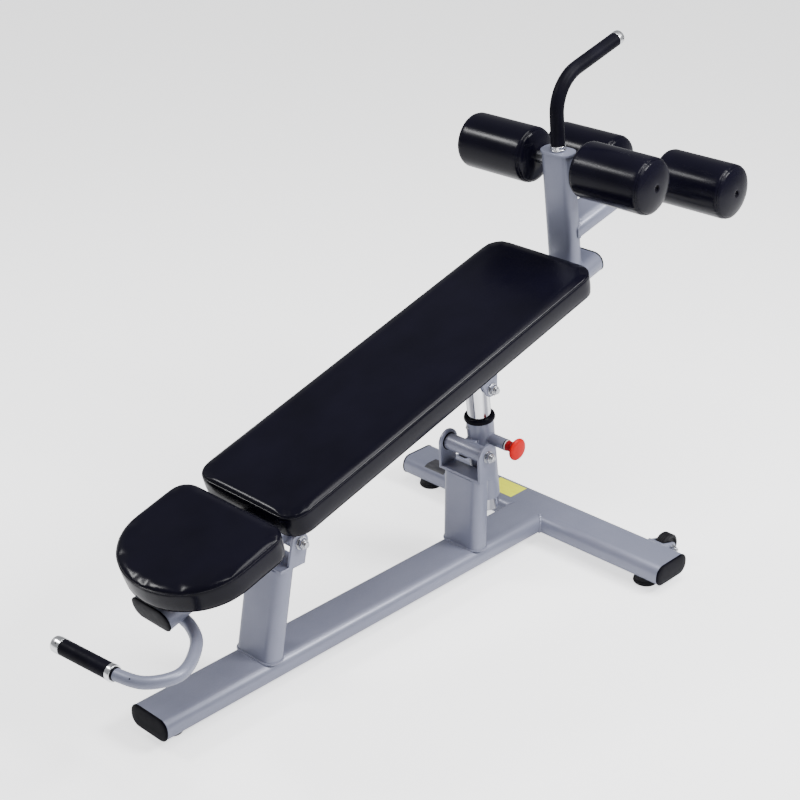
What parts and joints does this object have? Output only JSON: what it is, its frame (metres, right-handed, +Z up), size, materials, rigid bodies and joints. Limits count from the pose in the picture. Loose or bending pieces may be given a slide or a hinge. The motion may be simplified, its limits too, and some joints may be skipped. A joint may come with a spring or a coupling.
{
  "type": "adjustable weight bench",
  "caption": "Decline sit-up bench: T-shaped tube base, tilting padded beam with head pad, foam leg rollers, grab and carry handles, and a telescopic prop with a pull pin.",
  "frame": {"origin": "middle of the bench's footprint, on the floor", "axes": "+X from the head pad end towards the leg rollers, +Y to the bench's left side, +Z up"},
  "size_m": [1.593, 0.7226, 1.0686],
  "materials": {
    "frame_silver": "satin silver powder coat",
    "vinyl": "smooth black vinyl over foam",
    "rubber": "matt black",
    "black_plastic": "satin black moulding",
    "chrome": "polished plating",
    "zinc_steel": "bright zinc plating",
    "red_plastic": "glossy red moulding",
    "plywood": "bare plywood"
  },
  "bodies": {
    "base": {"base_rail": "frame_silver", "cross_tube": "frame_silver", "rail_end_cap": "black_plastic", "cross_tube_cap_right": "black_plastic", "cross_tube_cap_left": "black_plastic", "front_foot": "rubber", "rear_foot_right": "rubber", "rear_foot_left": "rubber", "front_post": "frame_silver", "front_bracket": "frame_silver", "mid_post": "frame_silver", "mid_bracket": "frame_silver", "hinge_bolt": "zinc_steel", "trunnion_bolt": "zinc_steel", "wheel_fork_right": "frame_silver", "wheel_fork_left": "frame_silver", "wheel_bolt_right": "zinc_steel", "wheel_bolt_left": "zinc_steel"},
    "bench": {"bench_beam": "frame_silver", "beam_cap_lower": "black_plastic", "beam_cap_upper": "black_plastic", "hinge_barrel": "frame_silver", "prop_clevis": "frame_silver", "prop_pin": "zinc_steel", "back_pad": "vinyl", "back_pad_board": "plywood", "head_pad": "vinyl", "head_pad_board": "plywood", "pad_plate_front": "frame_silver", "pad_plate_rear": "frame_silver", "pad_plate_head": "frame_silver", "roller_post": "frame_silver", "rear_arm": "frame_silver", "rear_arm_cap": "black_plastic", "front_axle": "zinc_steel", "rear_axle": "zinc_steel", "top_handle": "chrome", "top_handle_grip": "rubber", "top_handle_collar": "chrome", "top_handle_cap": "chrome", "carry_handle": "frame_silver", "carry_handle_collar": "chrome", "carry_handle_grip": "rubber", "carry_handle_cap": "chrome"},
    "prop_sleeve": {"sleeve_tube": "frame_silver", "trunnion_tube": "frame_silver", "sleeve_bushing": "black_plastic", "pin_boss": "frame_silver", "return_spring": "zinc_steel"},
    "prop_inner_rod": {"prop_rod": "chrome"},
    "pull_pin_and_knob": {"pull_pin": "zinc_steel", "pull_knob": "red_plastic"},
    "front_right_roller": {"front_roller_right": "vinyl"},
    "front_left_roller": {"front_roller_left": "vinyl"},
    "rear_right_roller": {"rear_roller_right": "vinyl"},
    "rear_left_roller": {"rear_roller_left": "vinyl"},
    "right_wheel": {"wheel_right": "rubber"},
    "left_wheel": {"wheel_left": "rubber"}
  },
  "joints": [
    {"name": "bench_tilt", "type": "hinge", "parent": "base", "child": "bench", "pos_m": [-0.32051, 0, 0.297], "axis": [0, -1, 0], "range_deg": [0, 14]},
    {"name": "prop_swivel", "type": "hinge", "parent": "base", "child": "prop_sleeve", "pos_m": [0.19198, 0, 0.284], "axis": [0, -1, 0], "range_deg": [0, 6.2]},
    {"name": "prop_slide", "type": "slide", "parent": "prop_sleeve", "child": "prop_inner_rod", "axis": [-0.1461, 0, 0.9893], "range_m": [0, 0.132]},
    {"name": "pull_pin_slide", "type": "slide", "parent": "prop_sleeve", "child": "pull_pin_and_knob", "axis": [0, -1, 0], "range_m": [0, 0.01], "stiffness_N_per_m": 400, "springref_m": -0.004},
    {"name": "front_roller_right_spin", "type": "hinge", "parent": "bench", "child": "front_right_roller", "pos_m": [0.45688, -0.1465, 0.83103], "axis": [0, 1, 0], "continuous": true},
    {"name": "front_roller_left_spin", "type": "hinge", "parent": "bench", "child": "front_left_roller", "pos_m": [0.45688, 0.1465, 0.83103], "axis": [0, 1, 0], "continuous": true},
    {"name": "rear_roller_right_spin", "type": "hinge", "parent": "bench", "child": "rear_right_roller", "pos_m": [0.7393, -0.1465, 0.75226], "axis": [0, 1, 0], "continuous": true},
    {"name": "rear_roller_left_spin", "type": "hinge", "parent": "bench", "child": "rear_left_roller", "pos_m": [0.7393, 0.1465, 0.75226], "axis": [0, 1, 0], "continuous": true},
    {"name": "wheel_right_spin", "type": "hinge", "parent": "base", "child": "right_wheel", "pos_m": [0.51699, -0.28, 0.033], "axis": [0, 1, 0], "continuous": true},
    {"name": "wheel_left_spin", "type": "hinge", "parent": "base", "child": "left_wheel", "pos_m": [0.51699, 0.28, 0.033], "axis": [0, 1, 0], "continuous": true}
  ],
  "couplings": [
    {"joint": "prop_swivel", "follows": "bench_tilt", "ratio": 0.4176},
    {"joint": "prop_slide", "follows": "bench_tilt", "m_per_rad": 0.527}
  ]
}
